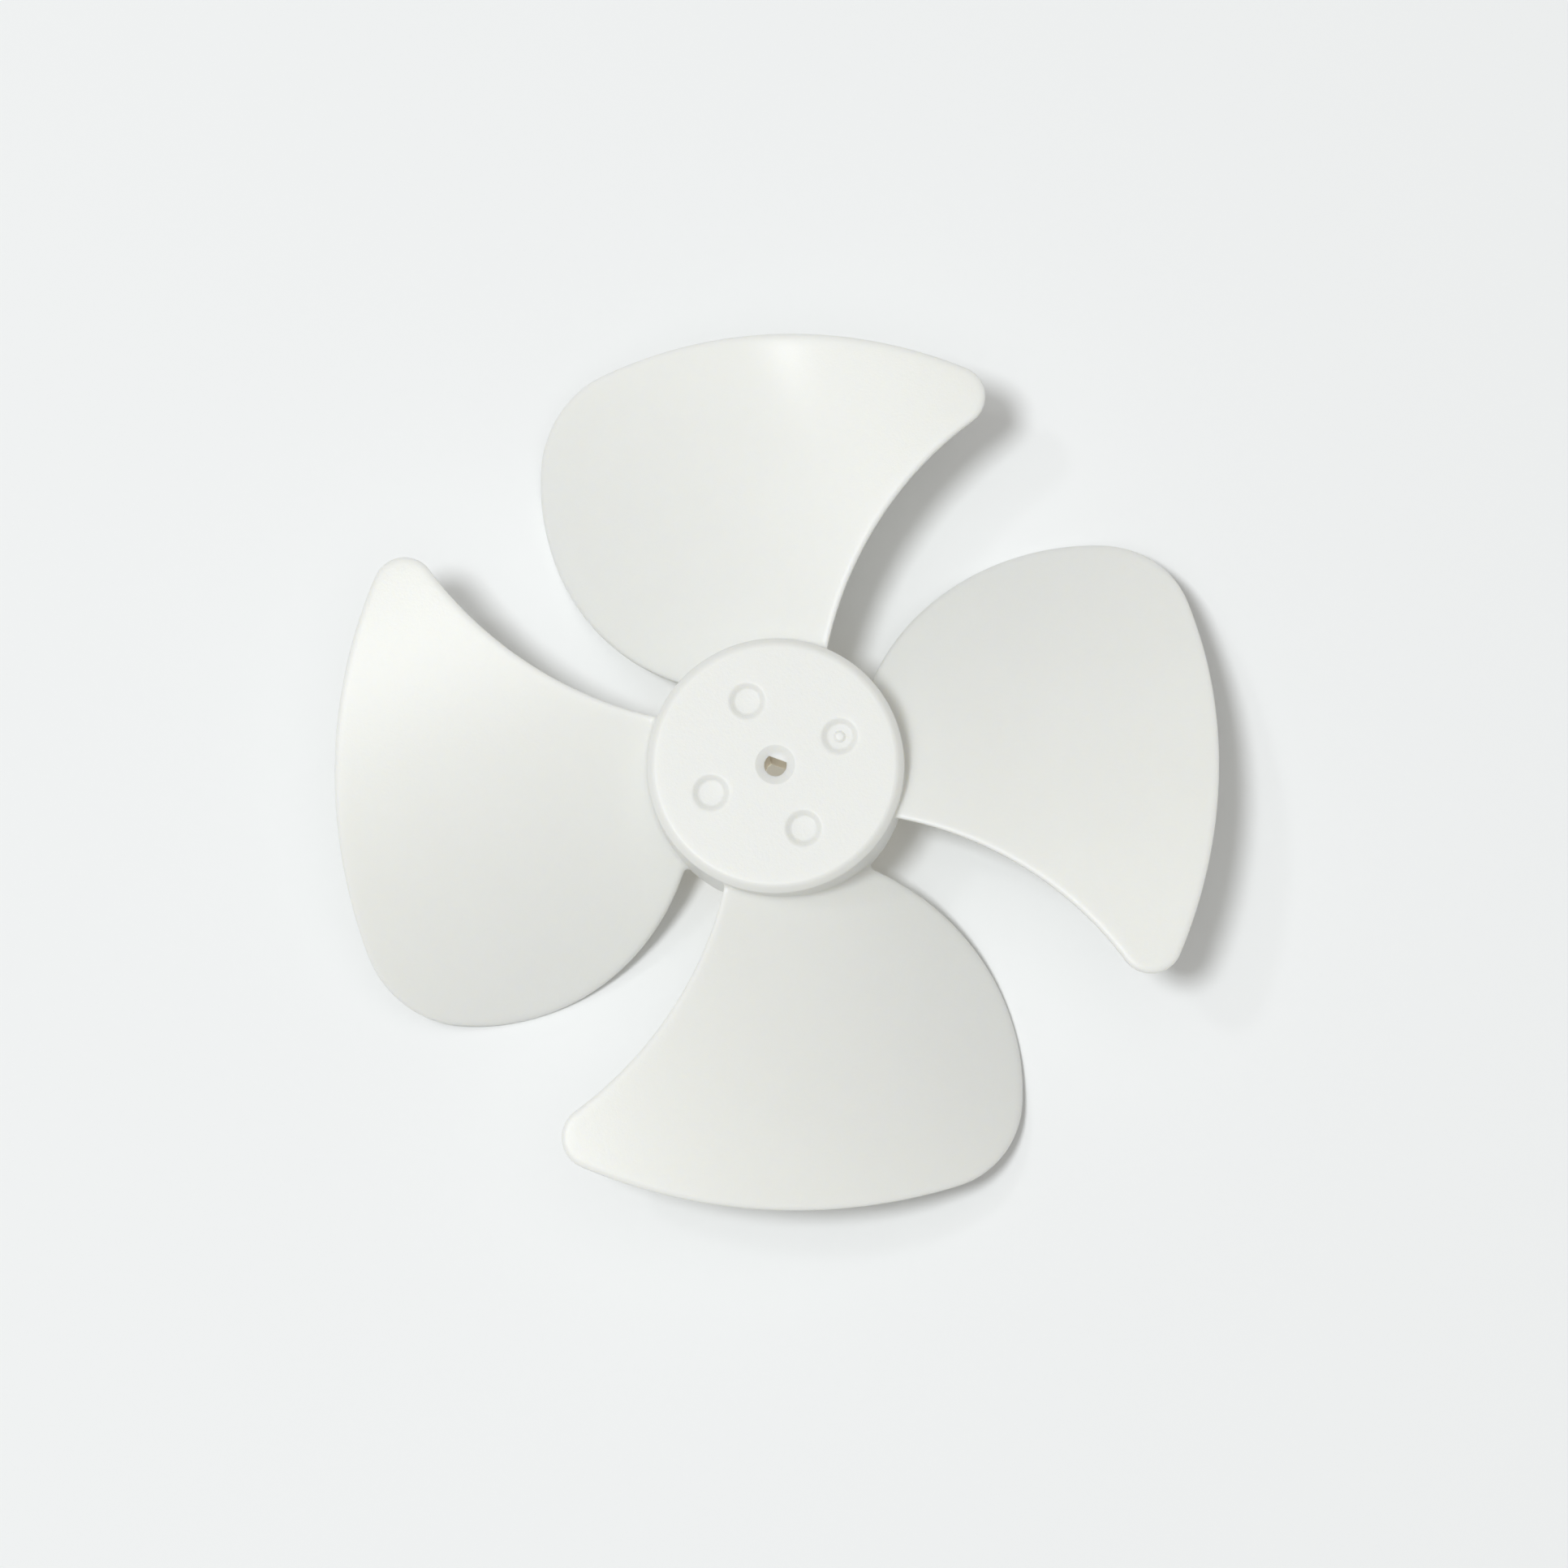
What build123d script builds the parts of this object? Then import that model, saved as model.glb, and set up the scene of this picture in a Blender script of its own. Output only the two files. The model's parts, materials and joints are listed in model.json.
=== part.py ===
from build123d import *
import math
import os

# Four-bladed axial fan wheel, moulded in one piece.
# A cup-shaped hub with a D-shaped shaft bore carries four thin blades.
# Each blade is cut from a cylindrical sheet, so it is curved across and straight along.
# Millimetres and degrees. +Z runs along the shaft, towards the closed face of the hub.
# The parts are drawn with the closed face at z = 0. The finished wheel is then lifted,
# so that it stands on the low trailing edges of its blades, on the plane z = 0.
# Angles are counted from +X, counter-clockwise seen from the closed face.

# Hub cup
HUB_RADIUS = 18.35
HUB_DEPTH = 13.4
HUB_DRAFT = 0.4
HUB_WALL = 1.6
FACE_THICKNESS = 2.0
FACE_EDGE_ROUND = 0.8
INNER_CORNER_ROUND = 0.8

# Shaft boss, D bore with a round lead-in at the motor end, and ribs from boss to wall
BORE_RADIUS = 1.6
BORE_FLAT_DISTANCE = 0.95
BORE_FLAT_ANGLE = 69.0
LEAD_IN_RADIUS = 2.0
LEAD_IN_LENGTH = 4.0
BOSS_TIP_RADIUS = 3.8
BOSS_LENGTH = 12.6
BOSS_DRAFT = 0.75
DIMPLE_RADIUS = 2.85
DIMPLE_DEPTH = 0.7
RIB_COUNT = 4
RIB_ANGLE = 0.0
RIB_THICKNESS = 1.2
RIB_HEIGHT = 6.0

# Round ejector wells sunk in the closed face, the first one with the gate stub
WELL_COUNT = 4
WELL_RADIUS = 2.4
WELL_FLOOR_RADIUS = 2.0
WELL_DEPTH = 0.5
WELL_CIRCLE_RADIUS = 10.0
WELL_ANGLE = 23.5
GATE_STUB_RADIUS = 0.45
GATE_STUB_HEIGHT = 0.35

# Blade outline seen along the shaft: three arcs with two rounded corners
BLADE_COUNT = 4
ROOT_LEADING_ANGLE = 65.9
ROOT_TRAILING_ANGLE = 132.4
HORN_RADIUS = 63.9
HORN_ANGLE = 56.8
TIP_RADIUS = 65.1
TIP_ANGLE = 120.3
LEADING_EDGE_RADIUS = 54.2
OUTER_EDGE_RADIUS = 73.7
TRAILING_EDGE_RADIUS = 33.2
HORN_ROUND = 4.5
TIP_ROUND = 14.0

# Blade sheet: its curve, the direction and fall of its straight lines, and its seat on the hub
CAMBER_RADIUS = 104.0
SHEET_ANGLE = 110.0
SHEET_FALL = 3.4
BLADE_THICKNESS = 1.4
LEADING_ROOT_CLEARANCE = 1.4
TRAILING_ROOT_ABOVE_RIM = 2.4
BLADE_EDGE_BEVEL = 0.35


def polar(radius, angle, height=0.0):
    """Point at a radius and an angle about the shaft."""
    turn = math.radians(angle)
    return Vector(radius * math.cos(turn), radius * math.sin(turn), height)


def around(shape, count, first_angle=0.0):
    """Copies of a shape, evenly spaced about the shaft."""
    return [Rot(0, 0, first_angle + 360 / count * number) * shape for number in range(count)]


def turned(*points):
    """Solid of revolution about the shaft from a closed profile of (radius, height) points."""
    return revolve(Plane.XZ * make_face(Polyline(*points, close=True)), Axis.Z)


def hub_radius_at(depth):
    """Outer radius of the cup at a depth below the closed face, where the draft widens it."""
    return HUB_RADIUS + depth * math.tan(math.radians(HUB_DRAFT))


def make_cup():
    """Drafted cup with a rounded face edge and a rounded inner corner, open downwards."""
    inner_top = hub_radius_at(FACE_THICKNESS) - HUB_WALL
    inner_rim = hub_radius_at(HUB_DEPTH) - HUB_WALL
    body = turned((0, 0), (HUB_RADIUS, 0), (hub_radius_at(HUB_DEPTH), -HUB_DEPTH), (0, -HUB_DEPTH))
    hollow = turned(
        (0, -FACE_THICKNESS), (inner_top, -FACE_THICKNESS), (inner_rim, -HUB_DEPTH), (0, -HUB_DEPTH)
    )
    body = fillet(body.edges().sort_by(Axis.Z)[-1], FACE_EDGE_ROUND)
    hollow = fillet(hollow.edges().sort_by(Axis.Z)[-1], INNER_CORNER_ROUND)
    return body - hollow


def make_boss():
    """Tapered boss under the closed face."""
    top = -FACE_THICKNESS / 2
    root_radius = BOSS_TIP_RADIUS + BOSS_LENGTH * math.tan(math.radians(BOSS_DRAFT))
    return turned((0, top), (root_radius, top), (BOSS_TIP_RADIUS, -BOSS_LENGTH), (0, -BOSS_LENGTH))


def make_rib():
    """One radial rib under the closed face, from the boss into the wall of the cup."""
    reach = HUB_RADIUS - HUB_WALL / 2
    top = -FACE_THICKNESS / 2
    bottom = -FACE_THICKNESS - RIB_HEIGHT
    return Pos(reach / 2, 0, (top + bottom) / 2) * Box(reach, RIB_THICKNESS, top - bottom)


def make_bore():
    """D-shaped hole through face and boss, with its round lead-in and the dimple in the face."""
    length = 2 * BOSS_LENGTH
    flat = Pos(BORE_FLAT_DISTANCE + BORE_RADIUS, 0, 0) * Box(2 * BORE_RADIUS, 4 * BORE_RADIUS, length)
    d_hole = Rot(0, 0, BORE_FLAT_ANGLE) * (Cylinder(BORE_RADIUS, length) - flat)
    lead_in = Pos(0, 0, -BOSS_LENGTH) * Cylinder(LEAD_IN_RADIUS, 2 * LEAD_IN_LENGTH)
    dimple = Pos(0, 0, -DIMPLE_DEPTH / 2) * Cone(BORE_RADIUS, DIMPLE_RADIUS, DIMPLE_DEPTH)
    return Pos(0, 0, -BOSS_LENGTH / 2) * d_hole + lead_in + dimple


def make_well():
    """One shallow tapered well in the closed face, on the +X side of the shaft."""
    cut = Cone(WELL_FLOOR_RADIUS, WELL_RADIUS, WELL_DEPTH)
    return Pos(WELL_CIRCLE_RADIUS, 0, -WELL_DEPTH / 2) * cut


def make_gate_stub():
    """Small stub on the floor of the first well, left where the mould was filled."""
    stub = Cylinder(GATE_STUB_RADIUS, GATE_STUB_HEIGHT)
    return Pos(*polar(WELL_CIRCLE_RADIUS, WELL_ANGLE, GATE_STUB_HEIGHT / 2 - WELL_DEPTH)) * stub


def make_outline():
    """Blade outline on the plane of the closed face, with its root inside the wall of the cup."""
    root_radius = HUB_RADIUS - HUB_WALL / 2
    root_leading = polar(root_radius, ROOT_LEADING_ANGLE)
    root_trailing = polar(root_radius, ROOT_TRAILING_ANGLE)
    horn = polar(HORN_RADIUS, HORN_ANGLE)
    tip = polar(TIP_RADIUS, TIP_ANGLE)
    outline = make_face(
        [
            RadiusArc(root_leading, horn, LEADING_EDGE_RADIUS),
            RadiusArc(horn, tip, -OUTER_EDGE_RADIUS),
            RadiusArc(tip, root_trailing, -TRAILING_EDGE_RADIUS),
            RadiusArc(root_trailing, root_leading, root_radius),
        ]
    )
    outline = fillet(outline.vertices().sort_by_distance(horn)[0], HORN_ROUND)
    return fillet(outline.vertices().sort_by_distance(tip)[0], TIP_ROUND)


def make_sheet():
    """Cylindrical sheet through the two ends of the blade root, hollow side down."""
    along = polar(1, SHEET_ANGLE, -math.tan(math.radians(SHEET_FALL)))
    section = Plane(origin=(0, 0, 0), x_dir=polar(1, SHEET_ANGLE - 90), z_dir=along)
    leading_depth = FACE_EDGE_ROUND + LEADING_ROOT_CLEARANCE
    trailing_depth = HUB_DEPTH - TRAILING_ROOT_ABOVE_RIM
    leading = section.to_local_coords(polar(HUB_RADIUS, ROOT_LEADING_ANGLE, -leading_depth))
    trailing = section.to_local_coords(polar(HUB_RADIUS, ROOT_TRAILING_ANGLE, -trailing_depth))
    curve = RadiusArc((leading.X, leading.Y), (trailing.X, trailing.Y), CAMBER_RADIUS)
    length = 4 * HORN_RADIUS
    sheet = Cylinder(CAMBER_RADIUS, length) - Cylinder(CAMBER_RADIUS - BLADE_THICKNESS, length)
    return section * Pos(curve.arc_center.X, curve.arc_center.Y) * sheet


def is_blade_border(edge):
    """True for the long edges that run round a blade, outside the hub."""
    middle = edge @ 0.5
    return edge.geom_type != GeomType.LINE and math.hypot(middle.X, middle.Y) > hub_radius_at(HUB_DEPTH)


def make_blade():
    """One blade: its outline carried along the shaft through the sheet, with broken edges."""
    height = 2 * HORN_RADIUS
    prism = Pos(0, 0, -height / 2) * extrude(make_outline(), height)
    blade = prism & make_sheet()
    return chamfer(blade.edges().filter_by(is_blade_border), BLADE_EDGE_BEVEL)


def make_wheel():
    """The whole wheel, standing on z = 0."""
    wheel = make_cup() + around(make_blade(), BLADE_COUNT)
    wheel = wheel + make_boss() + around(make_rib(), RIB_COUNT, RIB_ANGLE)
    wheel = wheel - make_bore() - around(make_well(), WELL_COUNT, WELL_ANGLE) + make_gate_stub()
    return Pos(0, 0, -wheel.bounding_box().min.Z) * wheel


os.makedirs("parts", exist_ok=True)
export_step(make_wheel(), "parts/fan_blade.step")
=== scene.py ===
"""Finished look of a moulded fan wheel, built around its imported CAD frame.

The wheel is one piece of satin white plastic. Its hub is turned from a profile. Its blades are flat
outlines that a node tree lifts onto a cylindrical sheet, thickens, rounds and copies about the shaft.
The same tree joins hub, ribs and blades into one closed shell and sinks the wells.

Sizes in the classes are millimetres and degrees. Meshes, node inputs and lamps are in metres.
"""

import json
import logging
import math
from dataclasses import dataclass
from enum import Enum
from typing import Sequence, Union

import bmesh
import bpy
import numpy as np
from mathutils import Euler, Matrix, Vector
from mathutils.geometry import delaunay_2d_cdt

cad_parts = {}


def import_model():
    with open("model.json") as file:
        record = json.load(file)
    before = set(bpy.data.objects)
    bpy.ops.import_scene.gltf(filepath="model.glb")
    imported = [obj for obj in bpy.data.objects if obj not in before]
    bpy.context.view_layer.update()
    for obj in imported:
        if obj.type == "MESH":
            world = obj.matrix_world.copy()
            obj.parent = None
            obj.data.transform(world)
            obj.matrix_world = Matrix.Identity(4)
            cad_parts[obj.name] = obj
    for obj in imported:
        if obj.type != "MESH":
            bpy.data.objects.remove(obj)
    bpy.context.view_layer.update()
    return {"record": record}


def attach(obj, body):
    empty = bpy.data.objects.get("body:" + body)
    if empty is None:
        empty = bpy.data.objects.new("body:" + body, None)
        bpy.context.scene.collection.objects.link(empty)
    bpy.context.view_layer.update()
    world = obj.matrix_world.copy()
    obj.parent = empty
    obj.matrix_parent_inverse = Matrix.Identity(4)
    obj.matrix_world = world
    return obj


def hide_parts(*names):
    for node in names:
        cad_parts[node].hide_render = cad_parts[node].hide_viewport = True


LOG = logging.getLogger("fan_wheel")
MM = 0.001
WELD = 0.0005
LEAST_PIECES = 6
FILL_INSIDE = 1
MEET_TOLERANCE = 1e-6
MIX_INPUTS = (0, 6, 7)
MIX_RESULT = 2
CLOUD_DETAIL = 3.0
GRAIN_DETAIL = 2.0
NODE = "fan_blade"
BODY = "root"
FACE_MOUNT = "closed_face"

Point = tuple[float, float]
Corner = tuple[float, float, float]
Triple = tuple[float, float, float]
Colour = tuple[float, float, float, float]


class Layer(Enum):
    """The two skins of a blade, as the sign of the way each lies from the middle of the sheet."""

    UPPER = 1
    LOWER = -1


def polar(radius: float, angle: float) -> np.ndarray:
    """Point in the plan at a radius and an angle in degrees about the shaft."""
    turn = math.radians(angle)
    return np.array((radius * math.cos(turn), radius * math.sin(turn)))


def heading(start: np.ndarray, end: np.ndarray) -> float:
    """Angle in radians of the way from one plan point to another."""
    return math.atan2(end[1] - start[1], end[0] - start[0])


def circle_meet(centre_a: np.ndarray, radius_a: float, centre_b: np.ndarray, radius_b: float,
                near: np.ndarray) -> np.ndarray:
    """Meeting point of two circles.

    Args:
        centre_a: Centre of the first circle.
        radius_a: Radius of the first circle.
        centre_b: Centre of the second circle.
        radius_b: Radius of the second circle.
        near: Plan point that picks one of the two meeting points.

    Returns:
        The meeting point that lies nearer to the given point.
    """
    span = centre_b - centre_a
    distance = float(np.hypot(*span))
    along = (distance ** 2 + radius_a ** 2 - radius_b ** 2) / (2 * distance)
    aside = math.sqrt(radius_a ** 2 - along ** 2)
    unit = span / distance
    foot = centre_a + unit * along
    across = np.array((-unit[1], unit[0])) * aside
    return min((foot + across, foot - across), key=lambda spot: float(np.hypot(*(spot - near))))


def rounded(corners: Sequence[Corner], steps: int, closed: bool) -> list[Point]:
    """Profile whose corners are replaced by arcs.

    Args:
        corners: Points of the profile, each with the radius of its round or zero.
        steps: Segments of each round.
        closed: True where the last point is joined to the first.

    Returns:
        Points of the profile with its rounds.
    """
    points: list[Point] = []
    count = len(corners)
    for number, (x, y, radius) in enumerate(corners):
        spot = Vector((x, y))
        at_end = not closed and number in (0, count - 1)
        if radius == 0 or at_end:
            points.append((x, y))
            continue
        back = (Vector(corners[number - 1][:2]) - spot).normalized()
        ahead = (Vector(corners[(number + 1) % count][:2]) - spot).normalized()
        half = back.angle(ahead) / 2
        centre = spot + (back + ahead).normalized() * radius / math.sin(half)
        first = spot + back * radius / math.tan(half) - centre
        sweep = first.angle_signed(spot + ahead * radius / math.tan(half) - centre)
        for step in range(steps + 1):
            points.append(tuple(centre + Matrix.Rotation(-sweep * step / steps, 2) @ first))
    return points


def divided(points: Sequence[Point], pitch: float, closed: bool) -> list[Point]:
    """Profile whose long runs are cut into pieces no longer than a pitch."""
    result: list[Point] = []
    ends = list(points[1:]) + ([points[0]] if closed else [])
    for start, end in zip(points, ends):
        pieces = max(1, math.ceil(math.dist(start, end) / pitch))
        for piece in range(pieces):
            share = piece / pieces
            result.append((start[0] + (end[0] - start[0]) * share, start[1] + (end[1] - start[1]) * share))
    if not closed:
        result.append(points[-1])
    return result


def mesh_object(name: str, points: Sequence[Sequence[float]],
                faces: Sequence[Sequence[int]]) -> bpy.types.Object:
    """Object at the origin with a mesh of points in millimetres.

    Args:
        name: Name of the object and of its mesh.
        points: Corners of the mesh.
        faces: Corner numbers of each face.

    Returns:
        The object, linked to the scene.
    """
    mesh = bpy.data.meshes.new(name)
    mesh.from_pydata([tuple(value * MM for value in point) for point in points], [], list(faces))
    shape = bmesh.new()
    shape.from_mesh(mesh)
    bmesh.ops.remove_doubles(shape, verts=shape.verts, dist=WELD * MM)
    shape.to_mesh(mesh)
    shape.free()
    item = bpy.data.objects.new(name, mesh)
    bpy.context.scene.collection.objects.link(item)
    return item


def strip_faces(strips: int, size: int) -> list[list[int]]:
    """Faces with four corners between neighbouring closed rows of points.

    Args:
        strips: Number of strips, one less than the rows.
        size: Points in each row.

    Returns:
        Corner numbers of each face, strip by strip.
    """
    faces: list[list[int]] = []
    for strip in range(strips):
        low = strip * size
        for number in range(size):
            beside = (number + 1) % size
            faces.append([low + number, low + beside, low + size + beside, low + size + number])
    return faces


def turned_object(name: str, profile: Sequence[Point], columns: int) -> bpy.types.Object:
    """Closed solid of revolution whose profile starts and ends on its axis.

    Args:
        name: Name of the object.
        profile: Points as radius and height, from the lower pole to the upper one.
        columns: Number of faces round the axis.

    Returns:
        The turned object.
    """
    points = [(0.0, 0.0, profile[0][1])]
    rings = profile[1:-1]
    for radius, height in rings:
        for column in range(columns):
            turn = 2 * math.pi * column / columns
            points.append((radius * math.cos(turn), radius * math.sin(turn), height))
    points.append((0.0, 0.0, profile[-1][1]))
    faces: list[list[int]] = []
    last = len(points) - 1
    for column in range(columns):
        beside = (column + 1) % columns
        faces.append([0, 1 + beside, 1 + column])
        for ring in range(len(rings) - 1):
            low = 1 + ring * columns
            high = low + columns
            faces.append([low + column, low + beside, high + beside, high + column])
        top = 1 + (len(rings) - 1) * columns
        faces.append([last, top + column, top + beside])
    return mesh_object(name, points, faces)


class Field:
    """A number in a node tree, written with ordinary arithmetic."""

    def __init__(self, tree: bpy.types.NodeTree, socket: bpy.types.NodeSocket) -> None:
        """Wraps a socket that gives the number."""
        self.tree = tree
        self.socket = socket

    def worked(self, operation: str, *others: Union["Field", float]) -> "Field":
        """Result of a Math node with this number first.

        Args:
            operation: Name of the operation.
            others: Further numbers that the operation takes.

        Returns:
            The result as a field.
        """
        node = self.tree.nodes.new("ShaderNodeMath")
        node.operation = operation
        for slot, value in zip(node.inputs, (self, *others)):
            if isinstance(value, Field):
                self.tree.links.new(value.socket, slot)
            else:
                slot.default_value = value
        return Field(self.tree, node.outputs[0])

    def __add__(self, other: Union["Field", float]) -> "Field":
        """Sum."""
        return self.worked("ADD", other)

    def __sub__(self, other: Union["Field", float]) -> "Field":
        """Difference."""
        return self.worked("SUBTRACT", other)

    def __mul__(self, other: Union["Field", float]) -> "Field":
        """Product."""
        return self.worked("MULTIPLY", other)

    def __truediv__(self, other: Union["Field", float]) -> "Field":
        """Quotient."""
        return self.worked("DIVIDE", other)

    def root(self) -> "Field":
        """Square root."""
        return self.worked("SQRT")

    def at_least(self, low: Union["Field", float]) -> "Field":
        """The greater of this number and another."""
        return self.worked("MAXIMUM", low)

    def sine(self) -> "Field":
        """Sine of an angle in radians."""
        return self.worked("SINE")

    def cosine(self) -> "Field":
        """Cosine of an angle in radians."""
        return self.worked("COSINE")

    def sign(self) -> "Field":
        """Minus one, zero or one."""
        return self.worked("SIGN")


class TreeMaker:
    """Fills a node tree with nodes, links and named inputs."""

    def __init__(self, tree: bpy.types.NodeTree) -> None:
        """Takes the tree to fill."""
        self.tree = tree

    def node(self, kind: str, **settings: object) -> bpy.types.Node:
        """New node of a kind, with its settings."""
        made = self.tree.nodes.new(kind)
        for name, value in settings.items():
            setattr(made, name, value)
        return made

    def feed(self, target: bpy.types.NodeSocket, value: object) -> None:
        """Links a socket or a field to an input, or sets a plain value on it."""
        if isinstance(value, Field):
            self.tree.links.new(value.socket, target)
        elif isinstance(value, bpy.types.NodeSocket):
            self.tree.links.new(value, target)
        else:
            target.default_value = value

    def field(self, socket: bpy.types.NodeSocket) -> Field:
        """Field that reads a socket."""
        return Field(self.tree, socket)

    def vector(self, x: object, y: object, z: object) -> bpy.types.NodeSocket:
        """Vector from three numbers."""
        node = self.node("ShaderNodeCombineXYZ")
        for target, value in zip(node.inputs, (x, y, z)):
            self.feed(target, value)
        return node.outputs[0]

    def mixed(self, share: object, first: object, second: object) -> bpy.types.NodeSocket:
        """Colour between two colours, by a share from zero to one."""
        node = self.node("ShaderNodeMix", data_type="RGBA")
        for number, value in zip(MIX_INPUTS, (share, first, second)):
            self.feed(node.inputs[number], value)
        return node.outputs[MIX_RESULT]

    def sockets(self, way: str, kind: str, *names: str) -> None:
        """Adds named inputs or outputs of one kind to the tree."""
        for name in names:
            self.tree.interface.new_socket(name, in_out=way, socket_type=kind)


@dataclass(frozen=True)
class Bend:
    """One circular run of an outline: centre, radius, first and last angle, and how an inset alters it."""

    centre: np.ndarray
    radius: float
    first: float
    last: float
    inset_sign: int

    def points(self, inset: float, pitch: float) -> list[np.ndarray]:
        """Points along the run, drawn in from the outline by an inset, without its last end."""
        sweep = self.last - self.first
        pieces = max(LEAST_PIECES, math.ceil(abs(sweep) * self.radius / pitch))
        reach = self.radius + self.inset_sign * inset
        turns = [self.first + sweep * piece / pieces for piece in range(pieces)]
        return [self.centre + reach * np.array((math.cos(turn), math.sin(turn))) for turn in turns]


@dataclass
class Blade:
    """One blade: a flat outline with rim rows, and the sheet that the node tree lifts it onto."""

    hub_radius: float = 18.35
    wall_radius_leading: float = 18.37
    wall_radius_trailing: float = 18.43
    seat_radius: float = 17.55
    buried_radius: float = 17.0
    root_leading: float = 65.9
    root_trailing: float = 132.4
    horn_radius: float = 63.9
    horn_angle: float = 56.8
    tip_radius: float = 65.1
    tip_angle: float = 120.3
    leading_bow: float = 54.2
    outer_bow: float = 73.7
    trailing_bow: float = 33.2
    horn_round: float = 4.5
    tip_round: float = 14.0
    camber_radius: float = 104.0
    sheet_angle: float = 110.0
    sheet_fall: float = 3.4
    thickness: float = 1.4
    leading_depth: float = 2.2
    trailing_depth: float = 11.0
    edge_depth: float = 0.42
    edge_width: float = 0.95
    root_round: float = 0.75
    root_bite: float = 0.05
    draw_in: float = 0.008
    pitch: float = 0.55
    inner_pitch: float = 1.5
    rim_rows: tuple[float, ...] = (0.0, 0.015, 0.05, 0.11, 0.21, 0.36, 0.58, 0.98)
    root_rows: tuple[float, ...] = (0.0, 0.04, 0.1, 0.2, 0.34, 0.52, 0.75, 1.1)
    deep_inside: float = 9.0
    buried_spread: float = 0.25
    root_step: float = 1.4
    root_spread: float = 6.0
    root_gap: float = 0.02
    field_gap: float = 0.6
    border_gap: float = 0.3

    def centre_of(self, start: np.ndarray, end: np.ndarray, radius: float, on_left: bool) -> np.ndarray:
        """Centre of an arc between two plan points, on the left or right of the way between them."""
        half = (end - start) / 2
        rise = math.sqrt(radius ** 2 - float(half @ half))
        left = np.array((-half[1], half[0])) / float(np.hypot(*half))
        return start + half + left * (rise if on_left else -rise)

    def bends(self) -> list[Bend]:
        """Runs of the free outline, out along the leading edge and back along the trailing edge."""
        horn = polar(self.horn_radius, self.horn_angle)
        tip = polar(self.tip_radius, self.tip_angle)
        root_ahead = polar(self.seat_radius, self.root_leading)
        root_behind = polar(self.seat_radius, self.root_trailing)
        axis = np.zeros(2)
        ahead = self.centre_of(root_ahead, horn, self.leading_bow, False)
        outer = self.centre_of(horn, tip, self.outer_bow, True)
        behind = self.centre_of(tip, root_behind, self.trailing_bow, True)
        horn_mid = circle_meet(ahead, self.leading_bow + self.horn_round, outer,
                               self.outer_bow - self.horn_round, horn)
        tip_mid = circle_meet(outer, self.outer_bow - self.tip_round, behind,
                              self.trailing_bow - self.tip_round, tip)
        wall_ahead = self.wall_radius_leading - self.root_bite
        wall_behind = self.wall_radius_trailing - self.root_bite
        flare_ahead = circle_meet(axis, wall_ahead + self.root_round, ahead,
                                  self.leading_bow - self.root_round, root_ahead)
        flare_behind = circle_meet(axis, wall_behind + self.root_round, behind,
                                   self.trailing_bow + self.root_round, root_behind)
        runs = (
            (flare_ahead, self.root_round, heading(flare_ahead, axis), heading(ahead, flare_ahead), 1),
            (ahead, self.leading_bow, heading(ahead, flare_ahead), heading(ahead, horn_mid), 1),
            (horn_mid, self.horn_round, heading(horn_mid, ahead), heading(outer, horn_mid), -1),
            (outer, self.outer_bow, heading(outer, horn_mid), heading(outer, tip_mid), -1),
            (tip_mid, self.tip_round, heading(outer, tip_mid), heading(behind, tip_mid), -1),
            (behind, self.trailing_bow, heading(behind, tip_mid), heading(behind, flare_behind), -1),
            (flare_behind, self.root_round, heading(flare_behind, behind), heading(flare_behind, axis), 1),
        )
        return [Bend(centre, radius, first, self.unwound(first, last, sign), sign)
                for centre, radius, first, last, sign in runs]

    @staticmethod
    def unwound(first: float, last: float, sign: int) -> float:
        """Last angle of a run, clockwise where an inset widens the run and the other way where not."""
        full = 2 * math.pi
        if sign > 0:
            return first - (first - last) % full
        return first + (last - first) % full

    def loop(self, inset: float) -> tuple[np.ndarray, np.ndarray]:
        """Closed outline drawn in by an inset.

        Args:
            inset: Distance from the free edge.

        Returns:
            The points of the loop, and for each the distance from the free edge.
        """
        bends = self.bends()
        free: list[np.ndarray] = []
        for bend in bends:
            free.extend(bend.points(inset + self.draw_in, self.pitch))
        closing = bends[-1]
        reach = closing.radius + inset + self.draw_in
        free.append(closing.centre + reach * np.array((math.cos(closing.last), math.sin(closing.last))))
        first = math.degrees(heading(np.zeros(2), free[-1]))
        last = math.degrees(heading(np.zeros(2), free[0]))
        pieces = math.ceil(math.radians(first - last) * self.buried_radius / self.pitch)
        seat = self.buried_radius + inset * self.buried_spread
        buried = [polar(seat, first + (last - first) * piece / pieces) for piece in range(pieces + 1)]
        distances = [inset] * len(free) + [self.deep_inside] * len(buried)
        return np.array(free + buried), np.array(distances)

    def inner_points(self, border: np.ndarray) -> np.ndarray:
        """Points that fill a loop: rows beside the hub wall, and a regular field over the rest."""
        spots: list[np.ndarray] = []
        angles = np.arange(self.root_leading - self.root_spread, self.root_trailing + self.root_spread,
                           self.root_step)
        for row in self.root_rows:
            spots.extend(polar(self.hub_radius + row + self.root_gap, angle) for angle in angles)
        lift = self.inner_pitch * math.sqrt(3) / 2
        rows = int(2 * self.tip_radius / lift)
        columns = int(self.tip_radius / self.inner_pitch)
        clear_of_root = self.hub_radius + self.root_rows[-1] + self.field_gap
        for row in range(rows):
            y = row * lift
            for column in range(-columns, columns):
                spot = np.array(((column + 0.5 * (row % 2)) * self.inner_pitch, y))
                if np.hypot(*spot) > clear_of_root:
                    spots.append(spot)
        field = np.array(spots)
        return field[self.inside(field, border, self.border_gap)]

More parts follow.
